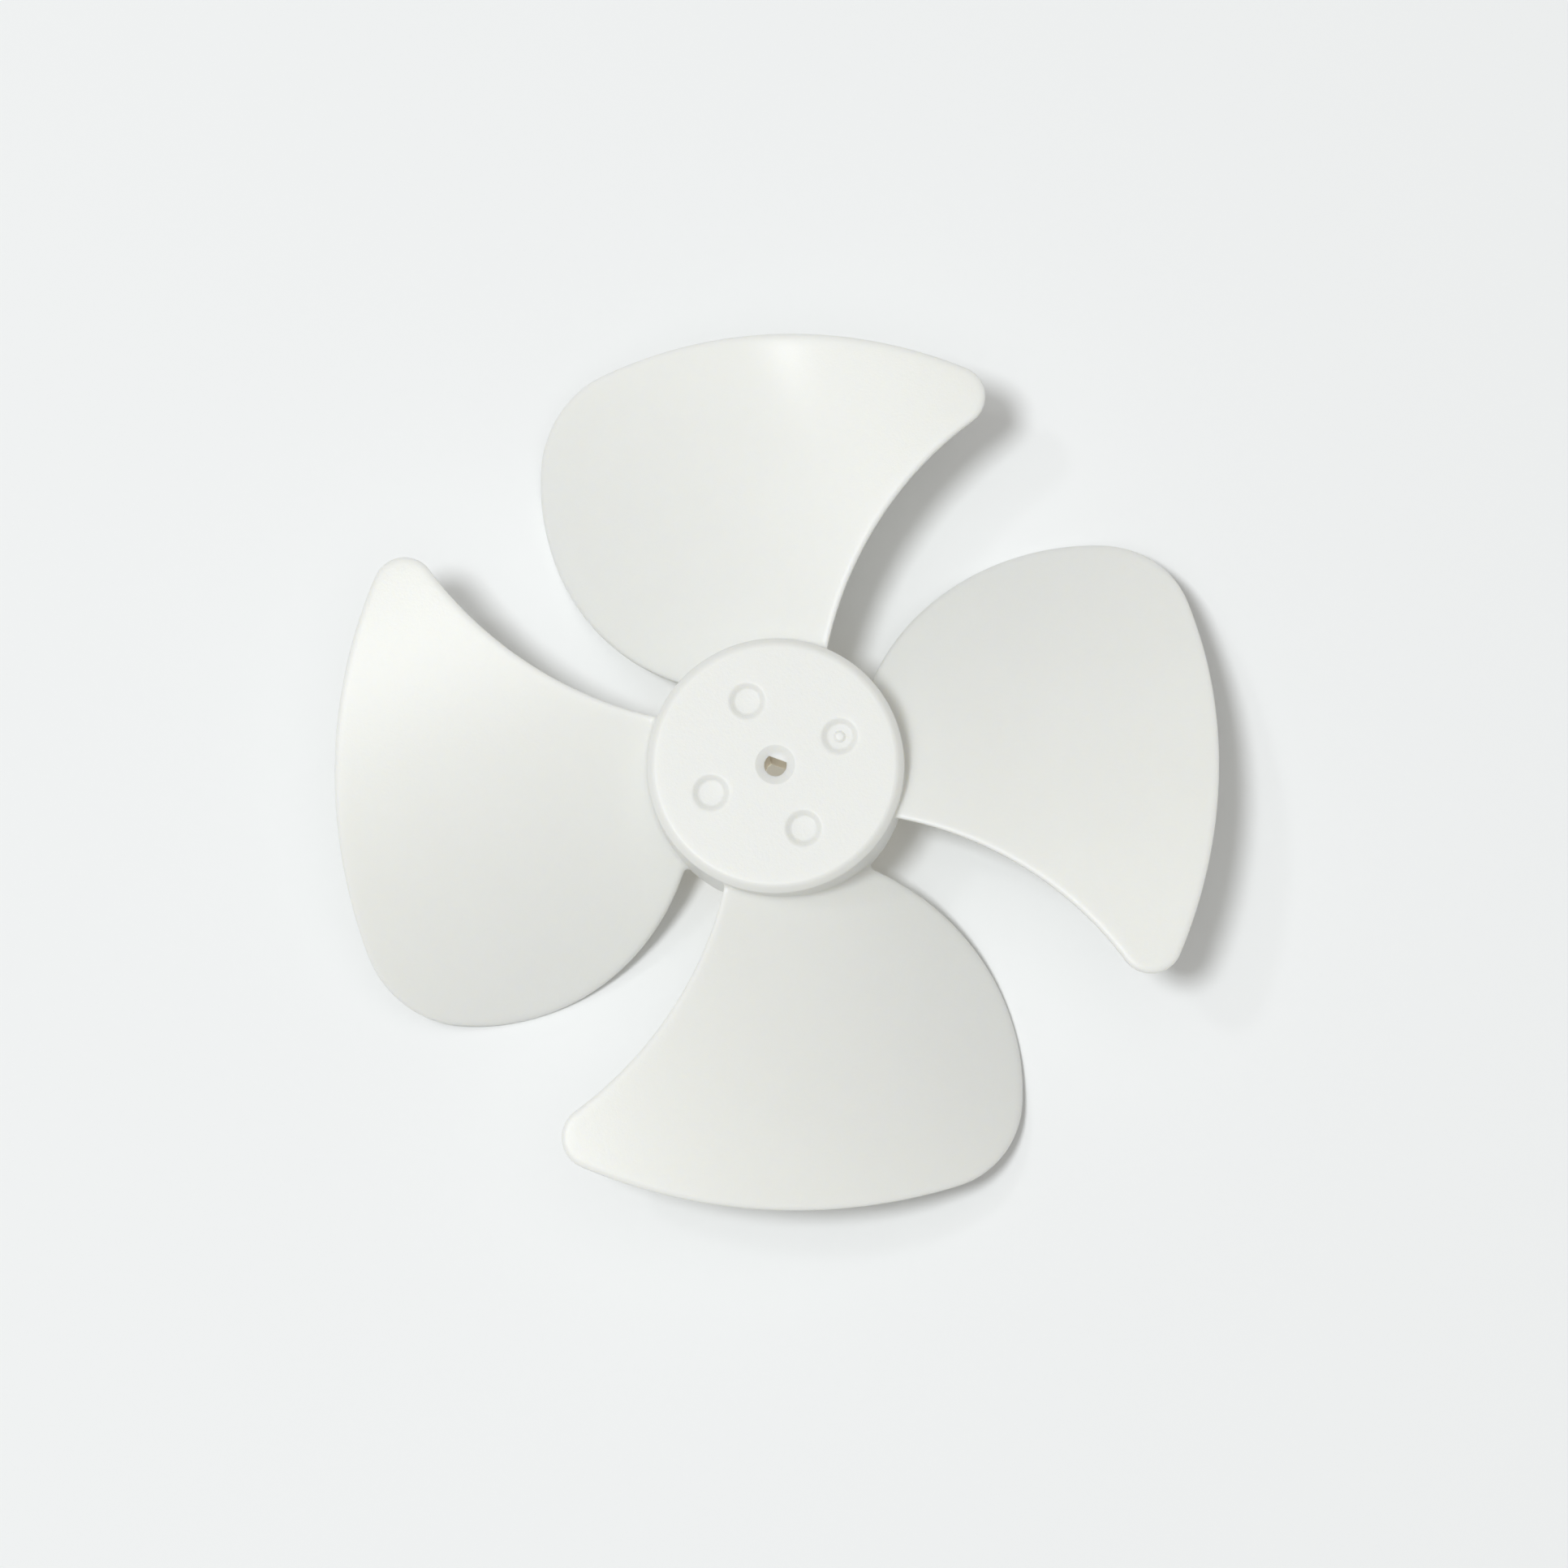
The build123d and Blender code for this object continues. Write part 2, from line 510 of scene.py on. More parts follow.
    @staticmethod
    def inside(spots: np.ndarray, border: np.ndarray, clearance: float) -> np.ndarray:
        """Mask of the points that lie inside a loop and clear of it."""
        start = border
        end = np.roll(border, -1, axis=0)
        x = spots[:, :1]
        y = spots[:, 1:]
        crosses = (start[:, 1] > y) != (end[:, 1] > y)
        rise = np.where(end[:, 1] == start[:, 1], 1.0, end[:, 1] - start[:, 1])
        meets = start[:, 0] + (y - start[:, 1]) / rise * (end[:, 0] - start[:, 0])
        within = (crosses & (meets > x)).sum(axis=1) % 2 == 1
        nearest = np.hypot(x - start[:, 0], y - start[:, 1]).min(axis=1)
        return within & (nearest > clearance)

    def flat_object(self) -> bpy.types.Object:
        """Closed flat blade in the plan: two skins joined at the rim, with each point's rim distance."""
        loops = [self.loop(inset) for inset in self.rim_rows]
        size = len(loops[0][0])
        border = loops[-1][0]
        inner = self.inner_points(border)
        flat = [Vector(spot) for spot in np.vstack((border, inner))]
        edges = [(number, (number + 1) % size) for number in range(size)]
        filled = delaunay_2d_cdt(flat, edges, [list(range(size))], FILL_INSIDE, MEET_TOLERANCE)
        spots, _, triangles, _, _, _ = filled
        plan = np.vstack([loop for loop, _ in loops[:-1]] + [np.array([tuple(spot) for spot in spots])])
        rim = np.concatenate([distances for _, distances in loops[:-1]]
                             + [loops[-1][1], np.full(len(spots) - size, self.deep_inside)])
        strips = len(loops) - 1
        faces = strip_faces(strips, size)
        faces.extend([strips * size + corner for corner in triangle] for triangle in triangles)
        total = len(plan)
        points = [(x, y, layer.value) for layer in Layer for x, y in plan]
        shell = faces + [[total + corner for corner in reversed(face)] for face in faces]
        for number in range(size):
            beside = (number + 1) % size
            shell.append([number, total + number, total + beside, beside])
        item = mesh_object("blade_plan", points, shell)
        marks = item.data.attributes.new("rim_distance", "FLOAT", "POINT")
        marks.data.foreach_set("value", np.concatenate((rim, rim)) * MM)
        return item

    def sheet_centre(self) -> Point:
        """Axis of the cylindrical sheet, across and up in the section square to its straight lines."""
        turn = math.radians(self.sheet_angle)
        fall = math.radians(self.sheet_fall)
        across = Vector((-math.sin(turn), math.cos(turn), 0))
        along = Vector((math.cos(fall) * math.cos(turn), math.cos(fall) * math.sin(turn), -math.sin(fall)))
        upward = along.cross(across)
        seats = [Vector((*polar(self.hub_radius, self.root_leading), -self.leading_depth)),
                 Vector((*polar(self.hub_radius, self.root_trailing), -self.trailing_depth))]
        ends = [np.array((seat @ across, seat @ upward)) for seat in seats]
        first, last = sorted(ends, key=lambda end: end[0])
        return tuple(self.centre_of(first, last, self.camber_radius, False))


@dataclass
class Hub:
    """The cup with its face, wall, boss, bore, ribs, wells and gate stub."""

    radius: float = 18.35
    depth: float = 13.4
    draft: float = 0.4
    wall: float = 1.6
    face_thickness: float = 2.0
    face_bevel: float = 0.95
    face_round: float = 1.1
    bevel_round: float = 0.5
    inner_round: float = 0.8
    rim_round: float = 0.25
    bore_radius: float = 1.6
    flat_distance: float = 0.95
    flat_angle: float = 69.0
    lead_in_radius: float = 2.0
    lead_in_length: float = 4.0
    boss_tip_radius: float = 3.8
    boss_length: float = 12.6
    boss_draft: float = 0.75
    boss_round: float = 0.3
    dimple_radius: float = 2.85
    dimple_depth: float = 0.7
    dimple_round: float = 0.2
    rib_count: int = 4
    rib_thickness: float = 1.2
    rib_height: float = 6.0
    rib_round: float = 0.3
    rib_flare: float = 3.0
    rib_bite: float = 0.8
    well_count: int = 4
    well_radius: float = 2.6
    well_floor_radius: float = 1.85
    well_depth: float = 0.5
    well_circle: float = 10.0
    well_angle: float = 23.5
    well_round: float = 0.8
    well_skirt: float = 0.6
    well_clear: float = 0.012
    well_columns: int = 72
    stub_radius: float = 0.5
    stub_foot: float = 0.9
    stub_height: float = 0.35
    stub_round: float = 0.1
    stub_sunk: float = 0.3
    stub_dome: float = 0.03
    stub_columns: int = 48
    bite: float = 0.02
    columns: int = 216
    pitch: float = 0.8
    steps: int = 7

    def outer_at(self, depth: float) -> float:
        """Outer radius of the cup at a depth below the face."""
        return self.radius + depth * math.tan(math.radians(self.draft))

    def profile(self) -> list[Point]:
        """Round rings of the cup as radius and height, from the dimple outwards and back to the lead-in."""
        boss_top = self.boss_tip_radius + self.boss_length * math.tan(math.radians(self.boss_draft))
        inner_top = self.outer_at(self.face_thickness) - self.wall
        inner_rim = self.outer_at(self.depth) - self.wall
        corners = [
            (self.bore_radius, -self.dimple_depth, 0),
            (self.dimple_radius, 0, self.dimple_round),
            (self.radius - self.face_bevel, 0, self.face_round),
            (self.outer_at(self.face_bevel), -self.face_bevel, self.bevel_round),
            (self.outer_at(self.depth), -self.depth, self.rim_round),
            (inner_rim, -self.depth, self.rim_round),
            (inner_top, -self.face_thickness, self.inner_round),
            (boss_top, -self.face_thickness, self.inner_round),
            (self.boss_tip_radius, -self.boss_length, self.boss_round),
            (self.lead_in_radius, -self.boss_length, self.boss_round),
            (self.lead_in_radius, self.lead_in_length - self.boss_length, 0),
        ]
        return divided(rounded(corners, self.steps, False), self.pitch, False)

    def turns(self) -> list[float]:
        """Angles of the columns round the hub, with the two corners of the flat among them."""
        corner = math.acos(self.flat_distance / self.bore_radius)
        middle = math.radians(self.flat_angle)
        regular = [2 * math.pi * column / self.columns for column in range(self.columns)]
        near = math.pi / self.columns
        ends = [middle - corner, middle + corner]
        kept = [turn for turn in regular if all(abs(turn - end) > near for end in ends)]
        return sorted(kept + ends)

    def bore_reach(self, turn: float) -> float:
        """Distance from the axis to the wall of the D bore at an angle."""
        facing = math.cos(turn - math.radians(self.flat_angle))
        if facing * self.bore_radius <= self.flat_distance:
            return self.bore_radius
        return self.flat_distance / facing

    def cup_object(self) -> bpy.types.Object:
        """Closed cup with its boss and its D bore."""
        turns = self.turns()
        rings = [[radius] * len(turns) for radius, _ in self.profile()]
        heights = [height for _, height in self.profile()]
        low = self.lead_in_length - self.boss_length
        high = -self.dimple_depth
        steps = math.ceil((high - low) / self.pitch)
        for step in range(steps + 1):
            rings.append([self.bore_reach(turn) for turn in turns])
            heights.append(low + (high - low) * step / steps)
        points = [(radius * math.cos(turn), radius * math.sin(turn), height)
                  for ring, height in zip(rings, heights) for radius, turn in zip(ring, turns)]
        columns = len(turns)
        faces = []
        for ring in range(len(rings)):
            following = (ring + 1) % len(rings)
            for column in range(columns):
                beside = (column + 1) % columns
                faces.append([ring * columns + column, ring * columns + beside,
                              following * columns + beside, following * columns + column])
        return mesh_object("hub_cup", points, [face[::-1] for face in faces])

    def rib_object(self) -> bpy.types.Object:
        """One rib along +X, buried in the boss, the face and the wall."""
        half = self.rib_thickness / 2
        flare = half + self.rib_flare * self.rib_round
        root = -self.face_thickness
        seat = root + self.bite
        tip = root - self.rib_height
        section = rounded(
            [
                (half, tip, self.rib_round), (half, root, self.rib_round), (flare, seat, 0),
                (flare, root / 2, 0), (-flare, root / 2, 0), (-flare, seat, 0),
                (-half, root, self.rib_round), (-half, tip, self.rib_round),
            ],
            self.steps, True)
        ends = [(self.boss_tip_radius - self.rib_bite, 0), (self.radius - self.wall / 2, 0)]
        reaches = divided(ends, self.pitch, False)
        size = len(section)
        points = [(reach, y, z) for reach, _ in reaches for y, z in section]
        faces = [list(range(size))[::-1], [(len(reaches) - 1) * size + number for number in range(size)]]
        return mesh_object("hub_rib", points, faces + strip_faces(len(reaches) - 1, size))

    def well_object(self) -> bpy.types.Object:
        """Cutter of one well, standing on the shaft."""
        skirt = self.well_radius + self.well_skirt
        corners = [
            (0, -self.well_depth, 0),
            (self.well_floor_radius, -self.well_depth, self.well_round),
            (self.well_radius, 0, self.well_round),
            (skirt, self.well_clear, 0),
            (skirt, self.well_depth, 0),
            (0, self.well_depth, 0),
        ]
        return turned_object("well_cut", rounded(corners, self.steps, False), self.well_columns)

    def stub_object(self) -> bpy.types.Object:
        """Gate stub of the first well, standing on the shaft."""
        top = self.stub_height - self.well_depth
        buried = -self.well_depth - self.stub_sunk
        corners = [
            (0, buried, 0),
            (self.stub_foot, buried, 0),
            (self.stub_foot, -self.well_depth - self.bite, 0),
            (self.stub_radius, top, self.stub_round),
            (0, top + self.stub_dome, 0),
        ]
        return turned_object("gate_stub", rounded(corners, self.steps, False), self.stub_columns)


@dataclass(frozen=True)
class SatinWhite:
    """Natural white moulded plastic: satin and slightly translucent, with a fine mould grain.

    The bore wall is painted a darker warm tone, as painted shade for the shade and warm through-light in
    the bore, and one blade is rubbed glossy at its rim.
    """

    name: str = "satin_white_plastic"
    pale: Colour = (0.822, 0.826, 0.793, 1.0)
    shaded: Colour = (0.79, 0.794, 0.76, 1.0)
    roughness_low: float = 0.39
    roughness_high: float = 0.46
    # painted shade: darker warm tone painted on the bore wall for the shade and warm through-light in the
    # bore
    bore_shade_tone: Colour = (0.74, 0.69, 0.56, 1.0)
    bore_shade_radius: float = 0.00163
    bore_shade_top: float = 0.0216
    bore_shade_fade: float = 0.0001
    rubbed_spot: Triple = (0.003, 0.0622, 0.0205)
    rubbed_reach: float = 0.022
    rubbed_gloss: float = 0.5
    rubbed_roughness: float = 0.2
    translucency: float = 0.6
    glow_reach: Triple = (1.0, 0.92, 0.72)
    glow_scale: float = 0.002
    grain_scale: float = 2600.0
    cloud_scale: float = 42.0
    grain_depth: float = 0.00002
    grain_strength: float = 1.0
    refraction: float = 1.49

    def material(self) -> bpy.types.Material:
        """Material with its node tree."""
        made = bpy.data.materials.new(self.name)
        made.use_nodes = True
        tree = made.node_tree
        maker = TreeMaker(tree)
        shader = tree.nodes["Principled BSDF"]
        shader.inputs["Subsurface Weight"].default_value = self.translucency
        shader.inputs["Subsurface Radius"].default_value = self.glow_reach
        shader.inputs["Subsurface Scale"].default_value = self.glow_scale
        shader.inputs["IOR"].default_value = self.refraction
        shader.inputs["Coat Roughness"].default_value = self.rubbed_roughness
        place = maker.node("ShaderNodeTexCoord").outputs["Object"]
        skin = maker.node("ShaderNodeGroup", node_tree=moulded_skin_group())
        maker.feed(skin.inputs["Place"], place)
        maker.feed(skin.inputs["Cloud Scale"], self.cloud_scale)
        maker.feed(skin.inputs["Grain Scale"], self.grain_scale)
        tone = maker.mixed(skin.outputs["Cloud"], self.shaded, self.pale)
        # painted shade: inside the bore the tone is mixed towards the darker warm bore colour
        bore_shaded = maker.mixed(self.bore_shade_mask(maker, place), tone, self.bore_shade_tone)
        maker.feed(shader.inputs["Base Color"], bore_shaded)
        gloss = maker.node("ShaderNodeMapRange")
        maker.feed(gloss.inputs["Value"], skin.outputs["Cloud"])
        maker.feed(gloss.inputs["To Min"], self.roughness_low)
        maker.feed(gloss.inputs["To Max"], self.roughness_high)
        maker.feed(shader.inputs["Roughness"], gloss.outputs[0])
        maker.feed(shader.inputs["Coat Weight"], self.rubbed_mask(maker, place))
        bump = maker.node("ShaderNodeBump")
        bump.inputs["Strength"].default_value = self.grain_strength
        bump.inputs["Distance"].default_value = self.grain_depth
        maker.feed(bump.inputs["Height"], skin.outputs["Grain"])
        maker.feed(shader.inputs["Normal"], bump.outputs[0])
        return made

    def bore_shade_mask(self, maker: TreeMaker, place: bpy.types.NodeSocket) -> Field:
        """Mask of the painted shade in the bore: one inside the bore below its top and zero outside it."""
        parts = maker.node("ShaderNodeSeparateXYZ")
        maker.feed(parts.inputs[0], place)
        x, y, height = (maker.field(socket) for socket in parts.outputs)
        radius = (x * x + y * y).root()
        within = self.faded(maker, radius, self.bore_shade_radius, self.bore_shade_radius + self.bore_shade_fade)
        return within * self.faded(maker, height, self.bore_shade_top, self.bore_shade_top + self.bore_shade_fade)

    def rubbed_mask(self, maker: TreeMaker, place: bpy.types.NodeSocket) -> Field:
        """Gloss of the rubbed spot, falling to zero round it."""
        apart = maker.node("ShaderNodeVectorMath", operation="DISTANCE")
        maker.feed(apart.inputs[0], place)
        maker.feed(apart.inputs[1], self.rubbed_spot)
        distance = maker.field(apart.outputs["Value"])
        near = (distance / -self.rubbed_reach + 1.0).at_least(0.0)
        return near * near * near * self.rubbed_gloss

    @staticmethod
    def faded(maker: TreeMaker, distance: Field, start: float, end: float) -> Field:
        """One up to the start of a distance, falling smoothly to zero at its end."""
        node = maker.node("ShaderNodeMapRange", interpolation_type="SMOOTHSTEP")
        maker.feed(node.inputs["Value"], distance)
        maker.feed(node.inputs["From Min"], start)
        maker.feed(node.inputs["From Max"], end)
        maker.feed(node.inputs["To Min"], 1.0)
        maker.feed(node.inputs["To Max"], 0.0)
        return maker.field(node.outputs[0])


def moulded_skin_group() -> bpy.types.NodeTree:
    """Shader group with the fine grain of a mould and the broad clouding of the plastic."""
    known = bpy.data.node_groups.get("moulded_skin")
    if known:
        return known
    tree = bpy.data.node_groups.new("moulded_skin", "ShaderNodeTree")
    maker = TreeMaker(tree)
    maker.sockets("INPUT", "NodeSocketVector", "Place")
    maker.sockets("INPUT", "NodeSocketFloat", "Cloud Scale", "Grain Scale")
    maker.sockets("OUTPUT", "NodeSocketFloat", "Cloud", "Grain")
    given = maker.node("NodeGroupInput").outputs
    result = maker.node("NodeGroupOutput").inputs
    cloud = maker.node("ShaderNodeTexNoise")
    cloud.inputs["Detail"].default_value = CLOUD_DETAIL
    maker.feed(cloud.inputs["Vector"], given["Place"])
    maker.feed(cloud.inputs["Scale"], given["Cloud Scale"])
    grain = maker.node("ShaderNodeTexNoise")
    grain.inputs["Detail"].default_value = GRAIN_DETAIL
    maker.feed(grain.inputs["Vector"], given["Place"])
    maker.feed(grain.inputs["Scale"], given["Grain Scale"])
    maker.feed(result["Cloud"], cloud.outputs[0])
    maker.feed(result["Grain"], grain.outputs[0])
    return tree


class WheelTree:
    """Node tree that lifts the flat blade, copies it, and joins it with the hub."""

    NUMBERS = ("Camber Radius", "Sheet Angle", "Sheet Fall", "Centre Across", "Centre Up", "Thickness",
               "Edge Depth", "Edge Width", "Root Round", "Wall Radius", "Well Circle", "Well Angle", "Lift")
    COUNTS = ("Blade Count", "Rib Count", "Well Count")
    PARTS = ("Cup", "Rib", "Well", "Stub")

    def __init__(self) -> None:
        """Builds the tree."""
        self.tree = bpy.data.node_groups.new("moulded_wheel", "GeometryNodeTree")
        self.maker = TreeMaker(self.tree)
        self.maker.sockets("INPUT", "NodeSocketGeometry", "Geometry")
        self.maker.sockets("OUTPUT", "NodeSocketGeometry", "Geometry")
        self.maker.sockets("INPUT", "NodeSocketFloat", *self.NUMBERS)
        self.maker.sockets("INPUT", "NodeSocketInt", *self.COUNTS)
        self.maker.sockets("INPUT", "NodeSocketObject", *self.PARTS)
        self.maker.sockets("INPUT", "NodeSocketMaterial", "Finish")
        self.given = self.maker.node("NodeGroupInput").outputs
        self.build()

    def number(self, name: str) -> Field:
        """Named input as a field."""
        return self.maker.field(self.given[name])

    def part(self, name: str) -> bpy.types.NodeSocket:
        """Geometry of an object input."""
        node = self.maker.node("GeometryNodeObjectInfo")
        self.maker.feed(node.inputs["Object"], self.given[name])
        return node.outputs["Geometry"]

    def sheet_height(self, x: Field, y: Field, radius: Field) -> Field:
        """Height of the cylindrical sheet above a plan point.

        Args:
            x: First plan coordinate.
            y: Second plan coordinate.
            radius: Distance of the wanted skin from the axis of the sheet.

        Returns:
            The height below the closed face, as a negative number.
        """
        turn = self.number("Sheet Angle")
        fall = self.number("Sheet Fall")
        across = y * turn.cosine() - x * turn.sine() - self.number("Centre Across")
        outward = x * turn.cosine() + y * turn.sine()
        rise = (radius * radius - across * across).root()
        return (rise + self.number("Centre Up") - outward * fall.sine()) / fall.cosine()

    def blade(self) -> bpy.types.NodeSocket:
        """Flat blade lifted onto its sheet, with a rounded rim and a flared root."""
        maker = self.maker
        place = maker.node("GeometryNodeInputPosition").outputs[0]
        parts = maker.node("ShaderNodeSeparateXYZ")
        maker.feed(parts.inputs[0], place)
        x, y, layer = (maker.field(socket) for socket in parts.outputs)
        named = maker.node("GeometryNodeInputNamedAttribute", data_type="FLOAT")
        named.inputs["Name"].default_value = "rim_distance"
        rim = maker.field(named.outputs["Attribute"])
        width = self.number("Edge Width")
        worn = self.fall_away(rim, width) * self.number("Edge Depth") / width
        half = self.number("Thickness") * 0.5 - worn
        reach = (x * x + y * y).root() - self.number("Wall Radius")
        half = half + self.fall_away(reach, self.number("Root Round"))
        middle = self.number("Camber Radius") - self.number("Thickness") * 0.5
        height = self.sheet_height(x, y, middle + half * layer.sign())
        lifted = maker.node("GeometryNodeSetPosition")
        maker.feed(lifted.inputs["Geometry"], self.given["Geometry"])
        maker.feed(lifted.inputs["Position"], maker.vector(x, y, height))
        return lifted.outputs[0]

    @staticmethod
    def fall_away(distance: Field, radius: Field) -> Field:
        """Gap between a quarter round and its corner at a distance from the start of the round."""
        run = (radius - distance.at_least(0.0)).at_least(0.0)
        return radius - (radius * radius - run * run).at_least(0.0).root()

    def ring_of(self, geometry: bpy.types.NodeSocket, count: bpy.types.NodeSocket, first: object,
                circle: object) -> bpy.types.NodeSocket:
        """Copies of a shape evenly spaced about the shaft.

        Args:
            geometry: Shape to copy.
            count: Number of copies.
            first: Angle of the first copy in radians.
            circle: Distance of the copies from the shaft.

        Returns:
            The copies as one plain mesh.
        """
        maker = self.maker
        points = maker.node("GeometryNodePoints")
        maker.feed(points.inputs["Count"], count)
        number = maker.field(maker.node("GeometryNodeInputIndex").outputs[0])
        turn = number * (2 * math.pi) / maker.field(count) + first
        offset = maker.vector(turn.cosine() * circle, turn.sine() * circle, 0.0)
        maker.feed(points.inputs["Position"], offset)
        copies = maker.node("GeometryNodeInstanceOnPoints")
        maker.feed(copies.inputs["Points"], points.outputs[0])
        maker.feed(copies.inputs["Instance"], geometry)
        maker.feed(copies.inputs["Rotation"], maker.vector(0.0, 0.0, turn))
        plain = maker.node("GeometryNodeRealizeInstances")
        maker.feed(plain.inputs[0], copies.outputs[0])
        return plain.outputs[0]

    def joined(self, *shapes: bpy.types.NodeSocket) -> bpy.types.NodeSocket:
        """Union of closed shapes."""
        node = self.maker.node("GeometryNodeMeshBoolean", operation="UNION", solver="MANIFOLD")
        for shape in shapes:
            self.maker.feed(node.inputs[1], shape)
        return node.outputs[0]

    def sunk(self, shape: bpy.types.NodeSocket, cutter: bpy.types.NodeSocket) -> bpy.types.NodeSocket:
        """A closed shape with another one cut out of it."""
        node = self.maker.node("GeometryNodeMeshBoolean", operation="DIFFERENCE", solver="MANIFOLD")
        self.maker.feed(node.inputs[0], shape)
        self.maker.feed(node.inputs[1], cutter)
        return node.outputs[0]

    def build(self) -> None:
        """Joins everything and ends the tree."""
        maker = self.maker
        blades = self.ring_of(self.blade(), self.given["Blade Count"], 0.0, 0.0)
        ribs = self.ring_of(self.part("Rib"), self.given["Rib Count"], 0.0, 0.0)
        first = self.number("Well Angle")
        circle = self.number("Well Circle")
        wells = self.ring_of(self.part("Well"), self.given["Well Count"], first, circle)
        stub = maker.node("GeometryNodeTransform")
        maker.feed(stub.inputs["Geometry"], self.part("Stub"))
        offset = maker.vector(first.cosine() * circle, first.sine() * circle, 0.0)
        maker.feed(stub.inputs["Translation"], offset)
        body = self.joined(self.part("Cup"), blades, ribs)
        body = self.joined(self.sunk(body, wells), stub.outputs[0])
        lifted = maker.node("GeometryNodeTransform")
        maker.feed(lifted.inputs["Geometry"], body)
        maker.feed(lifted.inputs["Translation"], maker.vector(0.0, 0.0, self.number("Lift")))
        plain = maker.node("GeometryNodeRealizeInstances")
        maker.feed(plain.inputs[0], lifted.outputs[0])
        dressed = maker.node("GeometryNodeSetMaterial")
        maker.feed(dressed.inputs["Geometry"], plain.outputs[0])
        maker.feed(dressed.inputs["Material"], self.given["Finish"])
        maker.feed(maker.node("NodeGroupOutput").inputs[0], dressed.outputs[0])

    def apply(self, item: bpy.types.Object, values: dict[str, object]) -> bpy.types.Mesh:
        """Runs the tree on an object.

        Args:
            item: Object whose mesh is the flat blade.
            values: Value of each named input.

        Returns:
            The result as a plain mesh.
        """
        modifier = item.modifiers.new("wheel", "NODES")
        modifier.node_group = self.tree
        for socket in self.tree.interface.items_tree:
            if socket.in_out == "INPUT" and socket.name in values:
                modifier[socket.identifier] = values[socket.name]
        graph = bpy.context.evaluated_depsgraph_get()
        mesh = bpy.data.meshes.new_from_object(item.evaluated_get(graph))
        item.modifiers.remove(modifier)
        return mesh


@dataclass
class FanWheel:
    """The whole moulded wheel."""

    hub: Hub
    blade: Blade
    finish: SatinWhite
    lift: float
    blade_count: int = 4
    crease_angle: float = 33.0

    def build(self) -> bpy.types.Object:
        """Finished wheel as one object at the origin."""
        hub = self.hub
        blade = self.blade
        parts = {"Cup": hub.cup_object(), "Rib": hub.rib_object(), "Well": hub.well_object(),
                 "Stub": hub.stub_object()}
        plan = blade.flat_object()
        across, upward = blade.sheet_centre()
        values: dict[str, object] = {
            "Camber Radius": blade.camber_radius * MM,
            "Sheet Angle": math.radians(blade.sheet_angle),
            "Sheet Fall": math.radians(blade.sheet_fall),
            "Centre Across": across * MM,
            "Centre Up": upward * MM,
            "Thickness": blade.thickness * MM,
            "Edge Depth": blade.edge_depth * MM,
            "Edge Width": blade.edge_width * MM,
            "Root Round": blade.root_round * MM,
            "Wall Radius": (blade.wall_radius_leading - blade.root_bite) * MM,
            "Well Circle": hub.well_circle * MM,
            "Well Angle": math.radians(hub.well_angle),
            "Lift": self.lift,
            "Blade Count": self.blade_count,
            "Rib Count": hub.rib_count,
            "Well Count": hub.well_count,
            "Finish": self.finish.material(),
            **parts,
        }
        mesh = WheelTree().apply(plan, values)
        mesh.name = "fan_wheel"
        mesh.shade_smooth()
        mesh.set_sharp_from_angle(angle=math.radians(self.crease_angle))
        for helper in (plan, *parts.values()):
            shape = helper.data
            bpy.data.objects.remove(helper)
            bpy.data.meshes.remove(shape)
        wheel = bpy.data.objects.new("fan_wheel", mesh)
        bpy.context.scene.collection.objects.link(wheel)
        return wheel


def hang_disk(name: str, width: float, power: float, tint: Triple, place: Sequence[float],
              facing: Sequence[float]) -> None:
    """Hangs a round area light that the camera doesn't see.

    Args:
        name: Name of the light.
        width: Diameter in metres.
        power: Power in watts.
        tint: Colour of the light.
        place: Where its middle is.
        facing: Its turn as three angles in radians.
    """
    light = bpy.data.lights.new(name, "AREA")
    light.shape = "DISK"
    light.size = width
    light.energy = power
    light.color = tint
    lamp = bpy.data.objects.new(name, light)
    lamp.location = place
    lamp.rotation_euler = facing
    lamp.visible_camera = False
    bpy.context.scene.collection.objects.link(lamp)


@dataclass(frozen=True)
class SoftLamp:
    """One round soft lamp: its direction and distance from the spot it faces, its width and its share."""

    name: str
    azimuth: float
    tilt: float
    distance: float
    width: float
    share: float
    tint: Triple
    spot: Triple = (0.0, 0.0, 0.0)

    def hang(self) -> None:
        """Hangs the lamp, with the power at which a level white spot gets its share of full light."""
        turn = math.radians(self.azimuth)
        tilt = math.radians(self.tilt)
        way = Vector((math.sin(tilt) * math.cos(turn), math.sin(tilt) * math.sin(turn), math.cos(tilt)))
        power = self.share * (math.pi * self.distance) ** 2 / math.cos(tilt)
        place = Vector(self.spot) + way * self.distance
        facing = way.to_track_quat("Z", "Y").to_euler()
        hang_disk(self.name, self.width, power, self.tint, place, facing)


@dataclass(frozen=True)
class CupGlow:
    """Faint warm light on the shaft axis, for what the translucent plastic passes into the cup."""

    name: str
    height: float
    width: float
    power: float
    upward: bool
    tint: Triple = (1.0, 0.9, 0.72)

    def hang(self) -> None:
        """Hangs the light, facing the bore above it or the floor below it."""
        facing = (math.pi if self.upward else 0.0, 0.0, 0.0)
        hang_disk(self.name, self.width, self.power, self.tint, (0.0, 0.0, self.height), facing)


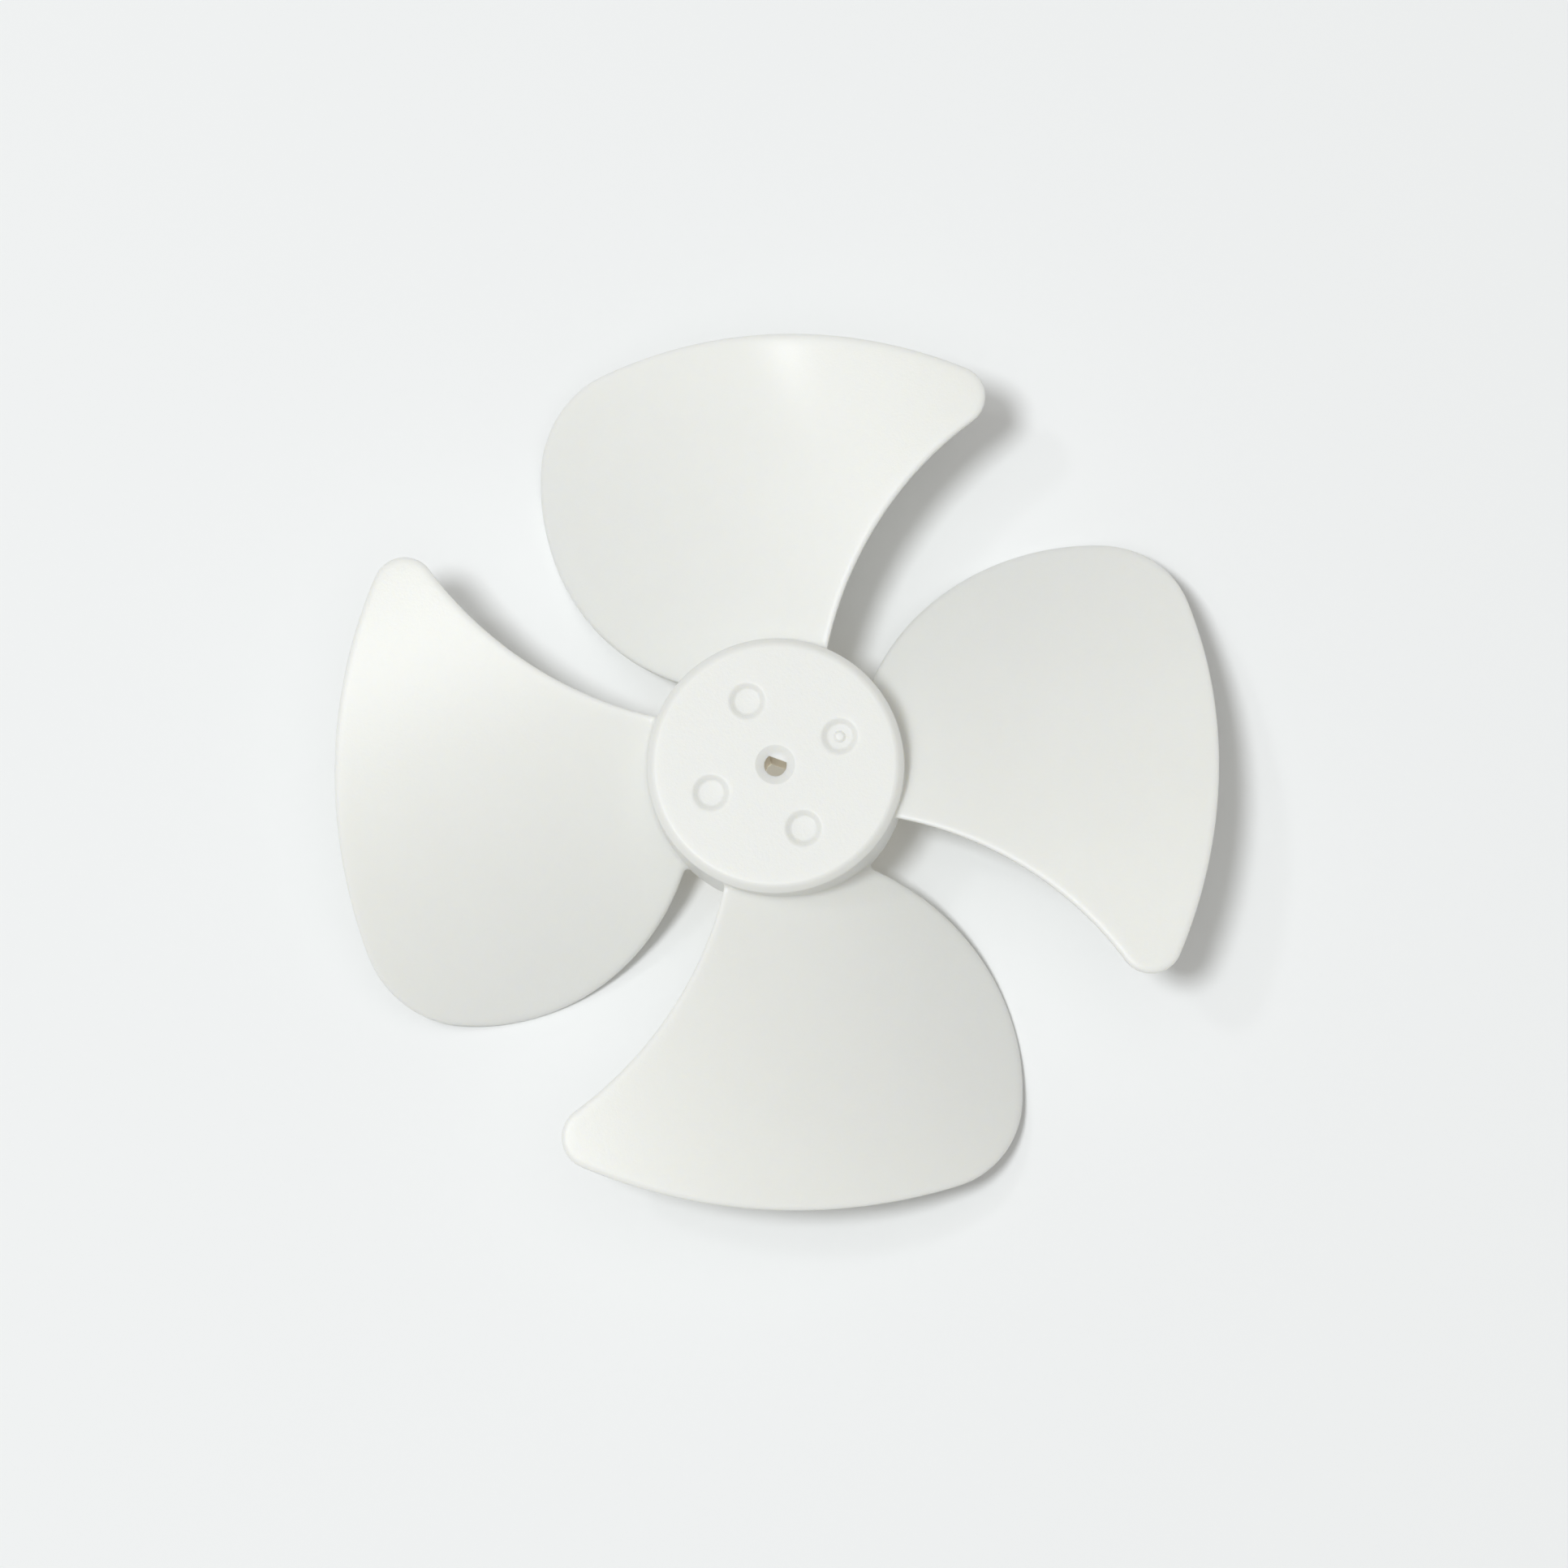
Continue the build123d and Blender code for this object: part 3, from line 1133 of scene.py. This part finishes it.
@dataclass
class Studio:
    """Pale floor, soft lamps and the camera."""

    floor_size: float = 6.0
    floor_tone: Colour = (0.903, 0.912, 0.905, 1.0)
    floor_roughness: float = 0.9
    floor_gloss: float = 0.1
    sky_strength: float = 0.33
    sky_tint: Colour = (1.0, 0.975, 0.945, 1.0)
    backdrop_strength: float = 0.92
    backdrop_tint: Colour = (1.0, 1.0, 1.0, 1.0)
    lamps_set: tuple[SoftLamp, ...] = (
        SoftLamp("key_lamp", 192.0, 12.8, 2.4, 0.46, 0.465, (0.97, 1.0, 1.03)),
        SoftLamp("overhead_lamp", 0.0, 0.0, 1.6, 1.8, 0.18, (0.99, 1.0, 1.01)),
        SoftLamp("streak_lamp", 158.0, 29.0, 2.0, 0.16, 0.04, (0.97, 1.0, 1.03), (0.003, 0.062, 0.02)),
    )
    glow_set: tuple[CupGlow, ...] = (
        CupGlow("floor_glow", 0.0085, 0.03, 0.0008, False),
        CupGlow("bore_glow", 0.006, 0.006, 0.00012, True),
    )
    eye: Triple = (27.251, -124.895, 875.998)
    eye_turn: Triple = (8.14, 1.728, -0.455)
    focal_pixels: float = 7476.0
    picture_pixels: float = 1932.0
    sensor: float = 36.0
    nearest: float = 0.05

    def floor(self) -> bpy.types.Object:
        """Flat pale floor under the wheel."""
        half = self.floor_size / 2 / MM
        corners = [(-half, -half, 0), (half, -half, 0), (half, half, 0), (-half, half, 0)]
        item = mesh_object("floor", corners, [(0, 1, 2, 3)])
        made = bpy.data.materials.new("pale_floor")
        made.use_nodes = True
        shader = made.node_tree.nodes["Principled BSDF"]
        shader.inputs["Base Color"].default_value = self.floor_tone
        shader.inputs["Roughness"].default_value = self.floor_roughness
        shader.inputs["Specular IOR Level"].default_value = self.floor_gloss
        item.data.materials.append(made)
        return item

    def lamps(self) -> None:
        """Soft lamps and an even sky."""
        for lamp in self.lamps_set + self.glow_set:
            lamp.hang()
        world = bpy.data.worlds.new("even_sky")
        world.use_nodes = True
        bpy.context.scene.world = world
        maker = TreeMaker(world.node_tree)
        sky = world.node_tree.nodes["Background"]
        path = maker.node("ShaderNodeLightPath")
        seen = maker.field(path.outputs["Is Camera Ray"])
        for ray in ("Is Glossy Ray", "Is Transmission Ray"):
            seen = seen.at_least(maker.field(path.outputs[ray]))
        strength = seen * (self.backdrop_strength - self.sky_strength) + self.sky_strength
        maker.feed(sky.inputs["Strength"], strength)
        maker.feed(sky.inputs["Color"], maker.mixed(seen, self.sky_tint, self.backdrop_tint))

    def camera(self) -> None:
        """Camera at the place and angle of the photograph."""
        data = bpy.data.cameras.new("camera")
        data.sensor_width = self.sensor
        data.lens = self.focal_pixels / self.picture_pixels * self.sensor
        data.clip_start = self.nearest
        item = bpy.data.objects.new("camera", data)
        item.location = Vector(self.eye) * MM
        item.rotation_mode = "ZYX"
        item.rotation_euler = Euler([math.radians(angle) for angle in self.eye_turn], "ZYX")
        bpy.context.scene.collection.objects.link(item)
        bpy.context.scene.camera = item


def face_height(record: dict) -> float:
    """Height of the closed face in metres, from the mount that stands on it."""
    return next(mount["pos_m"][2] for mount in record["mounts"] if mount["name"] == FACE_MOUNT)


def main() -> None:
    """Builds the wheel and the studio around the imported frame."""
    logging.basicConfig(level=logging.INFO, format="%(name)s: %(message)s")
    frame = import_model()
    bpy.context.scene.view_settings.view_transform = "Standard"
    studio = Studio()
    studio.camera()
    studio.lamps()
    studio.floor()
    wheel = FanWheel(Hub(), Blade(), SatinWhite(), face_height(frame["record"])).build()
    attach(wheel, BODY)
    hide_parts(NODE)
    LOG.info("fan_wheel: %d points, %d faces", len(wheel.data.vertices), len(wheel.data.polygons))


if __name__ == "__main__":
    main()
